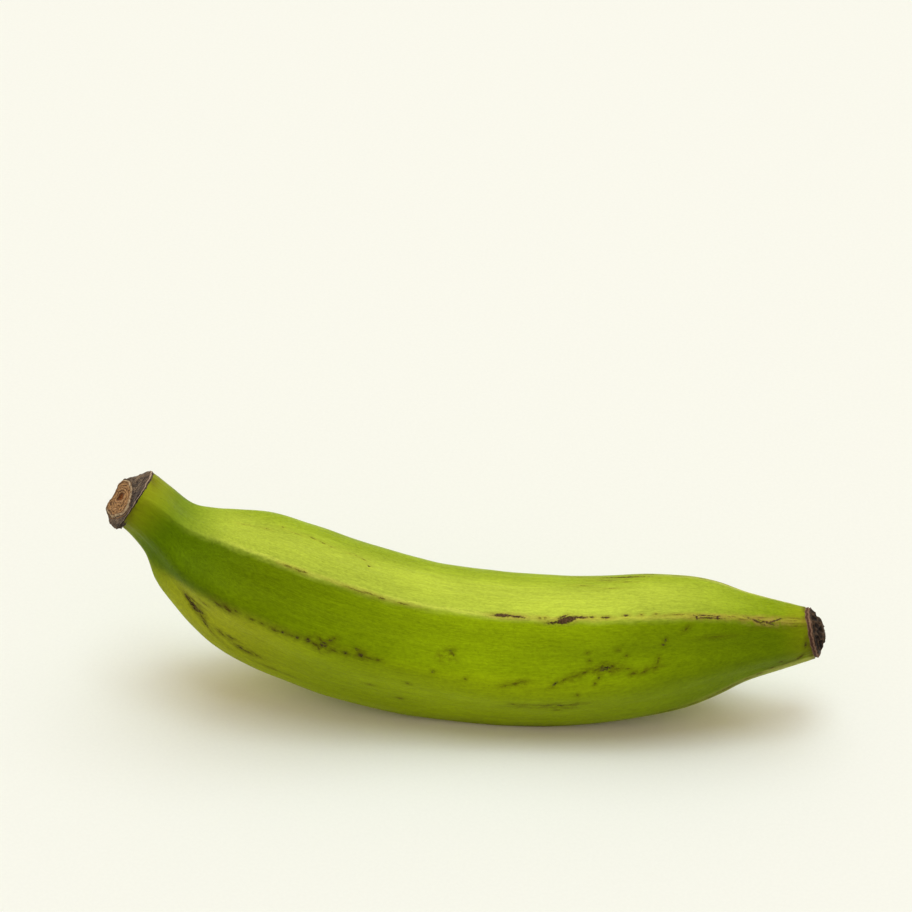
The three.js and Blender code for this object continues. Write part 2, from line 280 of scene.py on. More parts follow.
def skin_section(s):
    """Direction, radius and facet share of the skin's points at distances s, one row a loop."""
    angles, radii = [], []
    for facet, sides in enumerate(SIDES):
        following = (facet + 1) % len(RIDGES)
        start = along(RIDGES[facet]["angle"], s)[:, None]
        end = along(RIDGES[following]["angle"], s)[:, None] + (360 if following == 0 else 0)
        t = (np.arange(sides) / sides)[None, :]
        eased = t * t * (3 - 2 * t)
        angle = np.radians(mix(start, end, t))
        ridge = mix(along(RIDGES[facet]["height"], s)[:, None], along(RIDGES[following]["height"], s)[:, None], eased)
        soft = mix(RIDGES[facet]["soft"], RIDGES[following]["soft"], eased)
        flatness = along(BELLY_FLATNESS if facet == BELLY_FACET else FLATNESS, s)[:, None]
        hollow = flatness * (1 - np.cos(np.radians(end - start) / 2))
        half_width = along(HALF_WIDTH, s)[:, None]
        swell = sum(
            height * np.sin(2 * np.pi * waves * s[:, None] / FRUIT_LENGTH + round_ * angle + phase)
            for height, waves, round_, phase in SWELLS
        )
        radii.append(
            half_width * (ridge - hollow * np.sin(np.pi * t) ** soft) + swell * half_width / FULL_HALF_WIDTH
        )
        angles.append(angle)
    return np.hstack(angles), np.hstack(radii)


def lobed(lobes, angle):
    return 1 + sum(height * np.sin(count * angle + phase) for height, count, phase in lobes)


def place_loops(s, lift, angle, radius):
    """Points of loops round the spine: s has one value a loop, and the others have one a point."""
    steps, spine_x, spine_z = SPINE
    column = s[:, None]
    x = np.interp(column, steps, spine_x)
    z = np.interp(column, steps, spine_z)
    heading = np.radians(along(SPINE_HEADING, column))
    side = radius * np.cos(angle)
    rise = radius * np.sin(angle)
    side_slope = np.tan(np.radians(along(SIDE_TILT, column)))
    rise_slope = np.tan(np.radians(along(RISE_TILT, column)))
    dip = along(COLLAR_DIP, column) * (1 + np.cos(angle - math.radians(COLLAR_DIP_TOWARD))) / 2
    forward = lift - dip - side * side_slope - rise * rise_slope
    up = along(CENTRE_RISE, column) + rise
    return np.stack(
        [
            x + forward * np.cos(heading) - up * np.sin(heading),
            -side,
            z + forward * np.sin(heading) + up * np.cos(heading),
        ],
        axis=-1,
    )


def rough(points, scale, depth=2, seed=0):
    """Smooth noise from -1 to 1 at each point. scale has one value for each axis."""
    flat = points.reshape(-1, 3) * np.array(scale) + seed
    values = [noise.fractal(Vector(p), 0.9, 2.0, depth, noise_basis="PERLIN_ORIGINAL") for p in flat]
    return np.array(values).reshape(points.shape[:-1])


def grain_space(s, angle, radius):
    """The points of the fruit as if its spine were straight: along, toward the front, and up."""
    return np.stack(np.broadcast_arrays(s[:, None], radius * np.cos(angle), radius * np.sin(angle)), axis=-1)


def mark_frame(mark):
    """Middle of a mark in grain space, and its own axes there: along it, across it, and outward."""
    s, direction, length, width, turn = mark
    angle = math.radians(direction)
    half_width = float(along(HALF_WIDTH, np.array([s]))[0])
    middle = Vector((s, half_width * math.cos(angle), half_width * math.sin(angle)))
    outward = Matrix.Rotation(angle - math.pi / 2, 3, "X")
    return middle, outward @ Matrix.Rotation(-math.radians(turn), 3, "Z")


def nearness(marks, grain, spread):
    """How near each point of grain space is to a mark: 1 in its middle, 0 from spread times its size."""
    best = np.zeros(grain.shape[:-1])
    for mark in marks:
        middle, axes = mark_frame(mark)
        local = (grain - np.array(middle)) @ np.array(axes)
        scaled = local / (np.array([mark[2] / 2, mark[3] / 2, MARK_DEPTH]) * spread)
        best = np.maximum(best, 1 - np.linalg.norm(scaled, axis=-1))
    return best


MARK_DEPTH = 8


def face_edge(angle):
    """Share of the way to the bark's edge at which the cut face ends."""
    return np.interp(np.degrees(angle) % 360, *np.array(FACE_EDGE).T)


def cut_edge(angle):
    """Half width of the cut's edge in each direction, with its lobes and its flakes."""
    flakes = 0
    for toward, height, half_width in FLAKES:
        apart = (np.degrees(angle) - toward + 180) % 360 - 180
        flakes = flakes + height * np.maximum(0, 1 - np.abs(apart) / half_width) ** 1.3
    wavy = rough(grain_space(np.zeros(len(angle)), angle, CUT_HALF_WIDTH), (1, 0.3, 0.3), 3, 11)
    return CUT_HALF_WIDTH * lobed(CUT_LOBES, angle) + flakes + 0.4 * wavy


def cut_loops():
    """The cut face, from its pith out to the bark."""
    share = np.linspace(1 / FACE_LOOPS, 1, FACE_LOOPS)
    s = np.zeros(FACE_LOOPS)
    angle, _ = skin_section(s)
    out = share[:, None]
    off = PITH_OFF * (1 - out)
    toward = math.radians(PITH_TOWARD)
    reach = out * face_edge(angle) * cut_edge(angle)
    side = reach * np.cos(angle) + off * math.cos(toward)
    rise = reach * np.sin(angle) + off * math.sin(toward)
    angle = np.unwrap(np.arctan2(rise, side), axis=1)
    radius = np.hypot(side, rise)
    grain = grain_space(s, angle, radius)
    growth = np.sin(out * 26 + 2.5 * rough(grain, (1, 0.3, 0.3), 2, 5))
    cracks = np.maximum(0, rough(grain, (1, 1.1, 1.1), 2, 23) - 0.15)
    depth = np.interp(share, *np.array(CUT_FACE).T)[:, None] + 0.12 * growth * (1 - smooth(out, 0.8, 1))
    lift = depth + 0.5 * cracks + 0.4 * rough(grain, (1, 0.25, 0.25), 2, 41)
    crest = np.broadcast_to(out, radius.shape)
    return {"s": s, "lift": lift, "angle": angle, "radius": radius, "grain": grain, "crest": crest, "finish": 2}


def bevel_loops():
    """The worn edge of the bark round the cut face."""
    out = np.linspace(0, 1, BEVEL_LOOPS + 1)[1:, None]
    s = np.zeros(BEVEL_LOOPS)
    angle, _ = skin_section(s)
    edge = face_edge(angle)
    radius = mix(edge, 1, out) * cut_edge(angle) + 0.35 * np.sin(np.pi * out)
    grain = grain_space(s, angle, radius)
    flakes = rough(grain, (0.8, 0.5, 0.5), 4, 3)
    lift = CUT_FACE[-1][1] + BEVEL * (1 - edge) * out + 0.35 * flakes * out
    return {"s": s, "lift": lift, "angle": angle, "radius": radius, "grain": grain, "crest": flakes, "finish": 1}


def bark_loops():
    """The dried bark between the cut and the collar, furrowed and flaky."""
    s = np.linspace(0.25, COLLAR_AT - LIP_WIDTH, BARK_LOOPS)
    angle, skin = skin_section(s)
    grown = np.interp(s, *np.array(BARK).T)[:, None]
    plain = mix(cut_edge(angle), skin, grown) + LIP / 2
    grain = grain_space(s, angle, plain)
    flakes = rough(grain, (0.8, 0.5, 0.5), 4, 3)
    furrows = np.maximum(0, rough(grain, (0.25, 0.7, 0.7), 2, 29))
    worn = (CUT_FACE[-1][1] + BEVEL * (1 - face_edge(angle))) * (1 - s[:, None] / COLLAR_AT)
    radius = plain + 0.5 * flakes - 0.5 * furrows * (1 - smooth(s, 4, 5.2)[:, None])
    return {"s": s, "lift": worn, "angle": angle, "radius": radius, "grain": grain, "crest": flakes, "finish": 1}


def collar_loops():
    """The thin dry rim where the bark meets the green skin."""
    s = np.linspace(COLLAR_AT - LIP_WIDTH, COLLAR_AT + LIP, LIP_LOOPS + 1)[1:]
    angle, skin = skin_section(s)
    proud = LIP * (1 - smooth(s, COLLAR_AT - 0.1, COLLAR_AT + LIP))[:, None]
    grain = grain_space(s, angle, skin)
    ragged = 0.25 * rough(grain, (0.6, 0.6, 0.6), 2, 7)
    return {
        "s": s, "lift": ragged, "angle": angle, "radius": skin + proud * (1 + ragged), "grain": grain,
        "crest": np.ones_like(skin), "finish": 1,
    }


def skin_loops():
    """The green skin, with its fine lines, sunk marks and the creases beside the two dried ends."""
    first = COLLAR_AT + LIP
    count = round((FRUIT_LENGTH - first) / SKIN_STEP)
    s = np.linspace(first, FRUIT_LENGTH, count + 1)[1:]
    angle, skin = skin_section(s)
    half_width = np.broadcast_to(along(HALF_WIDTH, s)[:, None], skin.shape)
    grain = grain_space(s, angle, half_width)
    lines = rough(grain, (0.02, 0.3, 0.3), 3, 2)
    dents = rough(grain, (0.05, 0.09, 0.09), 2, 9)
    creases = rough(grain, (0.06, 0.9, 0.9), 2, 17)
    dry = np.maximum(smooth(s, FRUIT_LENGTH - 9, FRUIT_LENGTH), 1 - smooth(s, first, first + 7))[:, None]
    sunk = nearness(SCABS, grain, 1.6)
    relief = 0.08 * lines + 0.22 * dents + 0.12 * dry * creases - 0.25 * sunk
    return {"s": s, "lift": 0, "angle": angle, "radius": skin + relief, "grain": grain, "crest": lines, "finish": 0}


def ring_loops():
    """The thin dry ring round the blossom scar."""
    height = np.linspace(0.1, SCAR_RING[-1][0], RING_LOOPS)
    s = FRUIT_LENGTH + height
    angle, _ = skin_section(np.full(RING_LOOPS, FRUIT_LENGTH))
    share = np.interp(height, *np.array(SCAR_RING).T)[:, None]
    plain = share * SCAR_HALF_WIDTH * np.ones_like(angle)
    grain = grain_space(s, angle, plain)
    wavy = rough(grain_space(np.zeros(RING_LOOPS), angle, plain), (1, 0.28, 0.28), 3, 31)
    radius = plain + 0.35 * wavy
    return {
        "s": s, "lift": 0.5 * wavy, "angle": angle, "radius": radius, "grain": grain,
        "crest": np.ones_like(radius), "finish": 3,
    }


def dome_loops():
    """The dried remnant of the blossom, crumpled into folds."""
    base = SCAR_RING[-1][0]
    profile = np.array([[base + 0.05, 0.9]] + SCAR_DOME)
    height = np.linspace(base + 0.05, SCAR_HEIGHT, DOME_LOOPS)
    s = FRUIT_LENGTH + height
    angle, _ = skin_section(np.full(DOME_LOOPS, FRUIT_LENGTH))
    share = np.interp(height, *profile.T)[:, None]
    plain = share * SCAR_HALF_WIDTH * lobed(SCAR_LOBES, angle)
    grain = grain_space(s, angle, plain)
    folds = 1 - 2 * np.abs(rough(grain, (0.5, 0.32, 0.32), 2, 51))
    crumple = rough(grain, (0.9, 0.8, 0.8), 3, 61)
    calm = smooth(height, base, base + 0.8)[:, None]
    radius = plain * (1 + calm * (0.1 * (folds - 0.5) + 0.05 * crumple))
    lift = calm * (0.9 * (folds - 0.6) + 0.3 * crumple) * smooth(share, 0, 0.3)
    return {"s": s, "lift": lift, "angle": angle, "radius": radius, "grain": grain, "crest": folds, "finish": 3}


def lay_down(points, belly):
    """Leans points back as the fruit lies, with the belly at height 0 and nothing below it."""
    lean = -math.radians(LEAN)
    x, y, z = np.moveaxis(points, -1, 0)
    leant = np.stack([x, y * math.cos(lean) - z * math.sin(lean), y * math.sin(lean) + z * math.cos(lean)], -1)
    leant[..., 2] = np.maximum(leant[..., 2] - belly, 0)
    return leant


def belly_height(points):
    lean = -math.radians(LEAN)
    return (points[..., 1] * math.sin(lean) + points[..., 2] * math.cos(lean)).min() + REST_DEPTH


def fruit_mesh():
    """One closed mesh over all the loops, with the fields that the finishes read."""
    sections = [cut_loops(), bevel_loops(), bark_loops(), collar_loops(), skin_loops(), ring_loops(), dome_loops()]
    points = np.vstack([place_loops(p["s"], p["lift"], p["angle"], p["radius"]) for p in sections])
    s = np.arange(COLLAR_AT, FRUIT_LENGTH, SKIN_STEP)
    angle, skin = skin_section(s)
    belly = belly_height(place_loops(s, 0, angle, skin))
    loops, sides = points.shape[:2]
    ends = np.stack([points[0].mean(0), points[-1].mean(0)])
    laid = np.vstack([lay_down(points, belly).reshape(-1, 3), lay_down(ends, belly)]) * MM
    low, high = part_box(NODE)
    middle = (laid.min(0) + laid.max(0)) / 2
    laid += np.array([(low.x + high.x) / 2 - middle[0], (low.y + high.y) / 2 - middle[1], low.z])

    i, k = np.meshgrid(np.arange(loops - 1), np.arange(sides), indexing="ij")
    a = i * sides + k
    b = i * sides + (k + 1) % sides
    quads = np.stack([a, a + sides, b + sides, b], -1).reshape(-1, 4)
    around = np.arange(sides)
    following = (around + 1) % sides
    stalk_end = loops * sides
    last = (loops - 1) * sides
    stalk_fan = np.stack([np.full(sides, stalk_end), around, following], -1)
    scar_fan = np.stack([np.full(sides, stalk_end + 1), last + following, last + around], -1)
    mesh = bpy.data.meshes.new("plantain_fruit")
    mesh.from_pydata(laid.tolist(), [], quads.tolist() + stalk_fan.tolist() + scar_fan.tolist())

    finish = np.concatenate([np.full(len(p["s"]), p["finish"]) for p in sections])
    per_quad = np.repeat(np.maximum(finish[:-1], finish[1:]), sides)
    skin_rows = (finish[:-1] == 0) | (finish[1:] == 0)
    per_quad = np.where(np.repeat(skin_rows, sides), 0, per_quad)
    finishes = np.concatenate([per_quad, np.full(sides, 2), np.full(sides, 3)])
    mesh.polygons.foreach_set("material_index", finishes.astype(np.int32))
    mesh.polygons.foreach_set("use_smooth", np.ones(len(mesh.polygons), bool))

    grain = np.vstack([p["grain"].reshape(-1, 3) for p in sections])
    grain = np.vstack([grain, [[0, 0, 0], [FRUIT_LENGTH + SCAR_HEIGHT, 0, 0]]])
    crest = np.concatenate([p["crest"].ravel() for p in sections] + [[0, 0]])
    mesh.attributes.new("grain", "FLOAT_VECTOR", "POINT").data.foreach_set("vector", grain.ravel())
    mesh.attributes.new("crest", "FLOAT", "POINT").data.foreach_set("value", crest)
    for name, ridge in (("above_ridge", CREST), ("above_keel", KEEL)):
        mesh.attributes.new(name, "FLOAT", "POINT").data.foreach_set("value", above_ridge(grain, ridge))
    for name, marks in (("scab", SCABS), ("cork", CORK), ("bruise", BRUISES)):
        add_mark_field(mesh, name, marks, grain)
    mesh.update()
    return mesh


def add_mark_field(mesh, name, marks, grain):
    """Gives each corner of a face its place in the frame of the mark that is nearest to the face: along and
    across in half sizes, and the mark's half width."""
    corners = np.zeros(len(mesh.loops), np.int32)
    mesh.loops.foreach_get("vertex_index", corners)
    counts = np.zeros(len(mesh.polygons), np.int32)
    mesh.polygons.foreach_get("loop_total", counts)
    face_of_corner = np.repeat(np.arange(len(counts)), counts)
    centres = np.stack([np.bincount(face_of_corner, grain[corners, axis]) / counts for axis in range(3)], -1)
    frames = [mark_frame(mark) for mark in marks]
    middles = np.array([middle for middle, _ in frames])
    axes = np.array([np.array(turned) for _, turned in frames])
    sizes = np.array([(mark[2] / 2, mark[3] / 2, MARK_DEPTH) for mark in marks])
    outside = np.stack(
        [(np.linalg.norm((centres - m) @ a / h, axis=1) - 1) * h[1] for m, a, h in zip(middles, axes, sizes)]
    )
    nearest = outside.argmin(0)[face_of_corner]
    local = np.einsum("ci,cij->cj", grain[corners] - middles[nearest], axes[nearest]) / sizes[nearest]
    local[:, 2] = sizes[nearest, 1]
    mesh.attributes.new(name, "FLOAT_VECTOR", "CORNER").data.foreach_set("vector", local.ravel())


def above_ridge(grain, ridge):
    """How far a point lies past a ridge, in millimetres round the skin."""
    s = np.clip(grain[:, 0], 0, FRUIT_LENGTH)
    angle = np.degrees(np.arctan2(grain[:, 2], grain[:, 1]))
    apart = (angle - along(RIDGES[ridge]["angle"], s) + 180) % 360 - 180
    return np.radians(apart) * along(HALF_WIDTH, s)


def paint(red, green, blue):
    """A colour given as it shows on a screen, 0 to 255, as the shader takes it."""
    def linear(value):
        share = value / 255
        return share / 12.92 if share <= 0.04045 else ((share + 0.055) / 1.055) ** 2.4
    return (linear(red), linear(green), linear(blue), 1.0)


class Finish:
    """One material. Each method adds a node and gives back its output."""

    def __init__(self, name):
        self.material = bpy.data.materials.new(name)
        self.material.use_nodes = True
        self.tree = self.material.node_tree
        self.shader = self.tree.nodes["Principled BSDF"]

    def new(self, kind, output=0, settings=(), **inputs):
        node = self.tree.nodes.new(kind)
        for name, value in dict(settings).items():
            setattr(node, name, value)
        for name, value in inputs.items():
            self.feed(node.inputs[name.replace("_", " ").title()], value)
        return node.outputs[output]

    def feed(self, socket, value):
        if isinstance(value, bpy.types.NodeSocket):
            self.tree.links.new(value, socket)
        else:
            socket.default_value = value

    def field(self, name):
        node = self.tree.nodes.new("ShaderNodeAttribute")
        node.attribute_name = name
        return node.outputs["Fac" if name in ("crest", "above_ridge", "above_keel") else "Vector"]

    def math(self, operation, a, b=0.0):
        node = self.tree.nodes.new("ShaderNodeMath")
        node.operation = operation
        self.feed(node.inputs[0], a)
        self.feed(node.inputs[1], b)
        return node.outputs[0]

    def vector(self, operation, a, b=(0, 0, 0), output=0):
        node = self.tree.nodes.new("ShaderNodeVectorMath")
        node.operation = operation
        self.feed(node.inputs[0], a)
        self.feed(node.inputs[1], b)
        return node.outputs[output]

    def brighten(self, colour, share):
        node = self.tree.nodes.new("ShaderNodeVectorMath")
        node.operation = "SCALE"
        self.feed(node.inputs[0], colour)
        self.feed(node.inputs["Scale"], share)
        return node.outputs[0]

    def noise(self, at, stretch, detail=2.0, roughness=0.5, output="Fac"):
        """Noise from 0 to 1 with a feature about as long as 1 / stretch millimetres along each axis."""
        scaled = self.vector("MULTIPLY", at, stretch)
        node = self.tree.nodes.new("ShaderNodeTexNoise")
        self.feed(node.inputs["Vector"], scaled)
        node.inputs["Scale"].default_value = 1
        node.inputs["Detail"].default_value = detail
        node.inputs["Roughness"].default_value = roughness
        return node.outputs[output]

    def spots(self, at, stretch):
        """Distance to the nearest of many scattered points, in the stretched space."""
        scaled = self.vector("MULTIPLY", at, stretch)
        node = self.tree.nodes.new("ShaderNodeTexVoronoi")
        self.feed(node.inputs["Vector"], scaled)
        node.inputs["Scale"].default_value = 1
        return node.outputs["Distance"]

    def step(self, value, low, high, at_low=0.0, at_high=1.0):
        node = self.tree.nodes.new("ShaderNodeMapRange")
        node.interpolation_type = "SMOOTHSTEP"
        for name, number in (("From Min", low), ("From Max", high), ("To Min", at_low), ("To Max", at_high)):
            node.inputs[name].default_value = number
        self.feed(node.inputs["Value"], value)
        return node.outputs[0]

    def blend(self, factor, a, b, how="MIX"):
        node = self.tree.nodes.new("ShaderNodeMix")
        node.data_type = "RGBA"
        node.blend_type = how
        self.feed(node.inputs[0], factor)
        self.feed(node.inputs[6], a)
        self.feed(node.inputs[7], b)
        return node.outputs[2]

    def bump(self, height, depth, under=None):
        """Relief whose full height is depth millimetres."""
        node = self.tree.nodes.new("ShaderNodeBump")
        node.inputs["Strength"].default_value = 1
        node.inputs["Distance"].default_value = depth * MM
        self.feed(node.inputs["Height"], height)
        if under is not None:
            self.feed(node.inputs["Normal"], under)
        return node.outputs[0]

    def mark(self, name, wander, fray):
        """How far a point lies outside the edge of the nearest mark, in millimetres. wander pushes the marks
        about, and fray roughens their edges."""
        local = self.field(name)
        half_width = self.vector("DOT_PRODUCT", local, (0, 0, 1), "Value")
        pushed = self.vector("ADD", local, self.vector("DIVIDE", wander, self.vector("MULTIPLY", local, (0, 0, 1))))
        away = self.vector("LENGTH", self.vector("MULTIPLY", pushed, (1, 1, 0)), output="Value")
        outside = self.math("MULTIPLY", self.math("SUBTRACT", away, 1), half_width)
        return self.math("ADD", outside, fray)


def peel_finish():
    """Green waxy skin, its facets coloured partly in their own tones and partly with painted light: pale above as
    painted sheen, deeper in front and at the neck partly as painted shade, with a pale line past the crest ridge that
    is painted highlight toward the stalk and real tan wear toward the tip, a pale keel line painted as floor-bounced
    light, fine fibres, small pores, brown corky dots and lines with soft stains round them, and old dark scabs."""
    f = Finish("plantain_peel")
    grain = f.field("grain")
    distance = f.vector("DOT_PRODUCT", grain, (1, 0, 0), "Value")
    above = f.field("above_ridge")
    keel = f.field("above_keel")

    # The upper facet is painted pale, standing in for its sheen and the light from overhead, less so toward the tip
    # and its far edge; the front is deeper, partly its own green and partly painted shade, most toward the neck and
    # the tip
    upper = f.blend(f.step(distance, 190, 236), paint(172, 188, 62), paint(130, 151, 22))
    upper = f.blend(f.step(above, 16, 30, 0, 0.8), upper, paint(136, 158, 26))
    front = f.blend(f.step(distance, 45, 150, 1, 0), paint(154, 178, 10), paint(114, 136, 3))
    front = f.blend(f.step(distance, 150, 238), front, paint(106, 128, 4))
    front = f.blend(f.step(distance, 28, 55, 0.85, 0), front, paint(93, 118, 4))
    # The lower facet is paler than the front, most near the neck: painted light bounced up from the floor over the
    # skin's own green
    lower = f.blend(f.step(distance, 140, 235), paint(158, 177, 12), paint(114, 138, 5))
    lower = f.blend(f.step(distance, 40, 90, 1, 0), lower, paint(178, 184, 30))
    colour = f.blend(f.step(above, -25, -18), lower, front)
    edge_noise = f.noise(grain, (0.15, 0.5, 0.5), 3)
    ridge = f.math("ADD", above, f.step(edge_noise, 0.2, 0.8, -0.5, 0.5))
    colour = f.blend(f.step(ridge, -2.4, 0.7), colour, upper)
    # The neck is painted a deeper green, partly its own colour and partly painted shade
    colour = f.blend(f.step(distance, 12, 40, 0.85, 0), colour, paint(98, 126, 4))

    # A pale line just past the crest ridge: painted highlight toward the stalk, turning to real tan wear toward the
    # tip
    worn = f.math("MULTIPLY", f.step(ridge, -0.9, 0.1), f.step(ridge, 0.5, 1.9, 1, 0))
    toward_tip = f.math("MAXIMUM", f.step(distance, 24, 50, 0, 0.45), f.step(distance, 120, 170, 0, 0.5))
    ridge_highlight_and_wear = f.math("MULTIPLY", worn, toward_tip)
    tanned = f.step(distance, 120, 175)
    colour = f.blend(ridge_highlight_and_wear, colour, f.blend(tanned, paint(205, 214, 84), paint(186, 182, 66)))
    # A pale line along the keel and a pale band beside it near the tip: painted light bounced up from the floor
    keel_line = f.math("MULTIPLY", f.step(keel, -1.5, -0.2), f.step(keel, 0.4, 1.6, 0.5, 0))
    keel_band = f.math("MULTIPLY", f.step(keel, 3.4, 4.6, 0.6, 0), f.step(distance, 185, 236))
    painted_keel_light = f.math("MAXIMUM", keel_line, keel_band)
    colour = f.blend(painted_keel_light, colour, f.blend(f.step(distance, 60, 180), paint(150, 168, 30), paint(190, 192, 92)))

    patches = f.noise(grain, (0.03, 0.07, 0.07), 3)
    streaks = f.noise(grain, (0.03, 0.6, 0.6), 3, 0.6)
    lines = f.noise(grain, (0.2, 2.6, 2.6), 3, 0.6)
    mottle = f.noise(grain, (0.7, 1.3, 1.3), 4, 0.7)
    shade = f.math("ADD", f.step(patches, 0.3, 0.7, 0.92, 1.08), f.step(streaks, 0.3, 0.7, -0.06, 0.06))
    shade = f.math("ADD", shade, f.step(lines, 0.3, 0.7, -0.09, 0.09))
    shade = f.math("ADD", shade, f.step(mottle, 0.3, 0.7, -0.12, 0.12))
    colour = f.brighten(colour, shade)

    to_stalk = f.step(distance, COLLAR_AT, COLLAR_AT + 12, 0.6, 0)
    to_scar = f.step(distance, FRUIT_LENGTH - 12, FRUIT_LENGTH - 1, 0, 0.3)
    ripening = f.math("MAXIMUM", to_stalk, to_scar)
    colour = f.blend(ripening, colour, paint(164, 166, 22))
    smudge = f.noise(grain, (0.2, 0.25, 0.25), 3)
    dry_stalk = f.step(distance, COLLAR_AT - 1, COLLAR_AT + 5, 1, 0)
    dry_scar = f.step(distance, FRUIT_LENGTH - 2.2, FRUIT_LENGTH)
    dry = f.math("MULTIPLY", f.math("MAXIMUM", dry_stalk, dry_scar), f.step(smudge, 0.35, 0.65, 0.15, 0.8))
    colour = f.blend(dry, colour, paint(96, 82, 26))

    fibre = f.noise(grain, (1.1, 2.6, 2.6), 3, 0.65)
    stipple = f.noise(grain, (1.5, 1.9, 1.9), 3, 0.7)
    fray = f.math("MULTIPLY", f.math("SUBTRACT", fibre, 0.5), 1.7)
    jitter = f.vector("SUBTRACT", f.noise(grain, (0.6, 0.9, 0.9), 3, 0.6, "Color"), (0.5, 0.5, 0.5))
    wander = f.vector("MULTIPLY", jitter, (0.8, 1.5, 0))
    blotch = f.noise(grain, (0.45, 0.6, 0.6), 3, 0.6)
    stain = f.step(f.mark("bruise", wander, fray), -2.2, 1.2, 0.62, 0)
    stain = f.math("MULTIPLY", stain, f.step(blotch, 0.35, 0.62))
    colour = f.blend(stain, colour, f.blend(f.step(above, -3, -1.5), paint(102, 98, 12), paint(186, 158, 84)))
    cork_edge = f.mark("cork", wander, fray)
    scab_edge = f.mark("scab", wander, fray)
    near = f.math("MINIMUM", cork_edge, scab_edge)
    halo = f.math("MULTIPLY", f.step(near, 0, 1.3, 0.42, 0), f.step(stipple, 0.3, 0.6, 0.3, 1))
    halo = f.math("MULTIPLY", halo, f.step(above, 1.5, 4, 1, 0.4))
    colour = f.blend(halo, colour, f.blend(f.step(above, -2, 0), paint(94, 92, 10), paint(140, 112, 40)))
    cork = f.math("MULTIPLY", f.step(cork_edge, -0.25, 0.15, 0.78, 0), f.step(fibre, 0.36, 0.5, 0.15, 1))
    colour = f.blend(cork, colour, paint(76, 50, 14))
    ragged = f.math("MAXIMUM", f.step(fibre, 0.4, 0.52), f.step(above, -3, -1.5))
    scab = f.math("MULTIPLY", f.step(scab_edge, -0.2, 0.2, 0.95, 0), ragged)
    crust = f.blend(f.step(stipple, 0.4, 0.66), paint(44, 26, 18), paint(96, 66, 54))
    colour = f.blend(scab, colour, crust)

    pores = f.step(f.spots(grain, (0.42, 0.55, 0.55)), 0.05, 0.13, 0.4, 0)
    colour = f.blend(pores, colour, paint(76, 88, 10))
    f.feed(f.shader.inputs["Base Color"], colour)

    marks = f.math("MAXIMUM", scab, cork)
    satin = f.step(f.noise(grain, (0.06, 0.5, 0.5), 3), 0.3, 0.7, 0.4, 0.5)
    f.feed(f.shader.inputs["Roughness"], f.math("ADD", satin, f.math("MULTIPLY", marks, 0.3)))
    relief = f.math("ADD", f.math("MULTIPLY", marks, 0.8), lines)
    f.feed(f.shader.inputs["Normal"], f.bump(relief, 0.08, f.bump(mottle, 0.09)))
    f.shader.inputs["Specular IOR Level"].default_value = 0.06
    f.shader.inputs["Specular Tint"].default_value = (1.0, 0.95, 0.4, 1.0)
    return f.material


def bark_finish():
    """Dry grey-brown bark, speckled pale above and nearly black in its furrows, with a thin pale rim."""
    f = Finish("plantain_bark")
    grain = f.field("grain")
    crest = f.field("crest")
    distance = f.vector("DOT_PRODUCT", grain, (1, 0, 0), "Value")
    toward_top = f.vector("DOT_PRODUCT", grain, (0, 0, 1), "Value")
    shade = f.noise(grain, (0.4, 0.5, 0.5), 4, 0.65)
    specks = f.noise(grain, (1.8, 2.6, 2.6), 3, 0.7)
    colour = f.blend(f.step(shade, 0.35, 0.65), paint(76, 58, 48), paint(134, 112, 90))
    colour = f.blend(f.step(toward_top, -2, 5, 0.4, 0), colour, paint(66, 44, 40))
    colour = f.blend(f.step(crest, -0.5, 0.3, 0.8, 0), colour, paint(36, 24, 23))
    middle = f.math("MULTIPLY", f.step(toward_top, 7.2, 9.4, 0.85, 0), f.step(toward_top, -3, 3))
    colour = f.blend(middle, colour, paint(40, 26, 30))
    colour = f.blend(f.step(specks, 0.52, 0.64, 0, 0.7), colour, paint(170, 146, 120))
    colour = f.blend(f.step(specks, 0.36, 0.46, 0.6, 0), colour, paint(30, 20, 20))
    rim = f.math(
        "MULTIPLY", f.step(distance, COLLAR_AT - 0.5, COLLAR_AT - 0.38), f.step(distance, COLLAR_AT - 0.2, COLLAR_AT - 0.05, 1, 0)
    )
    below = f.step(toward_top, 6, 9, 1, 0.45)
    shadow = f.math("MULTIPLY", f.step(distance, COLLAR_AT - 3.6, COLLAR_AT - 1.8, 0, 0.9), below)
    colour = f.blend(shadow, colour, paint(42, 28, 30))
    colour = f.blend(f.math("MULTIPLY", rim, f.step(specks, 0.3, 0.6, 0.5, 0.95)), colour, paint(196, 168, 146))
    f.feed(f.shader.inputs["Base Color"], colour)
    f.feed(f.shader.inputs["Roughness"], f.step(specks, 0.3, 0.7, 0.65, 0.9))
    f.feed(f.shader.inputs["Normal"], f.bump(specks, 0.35, f.bump(shade, 0.5)))
    f.shader.inputs["Specular IOR Level"].default_value = 0.25
    return f.material


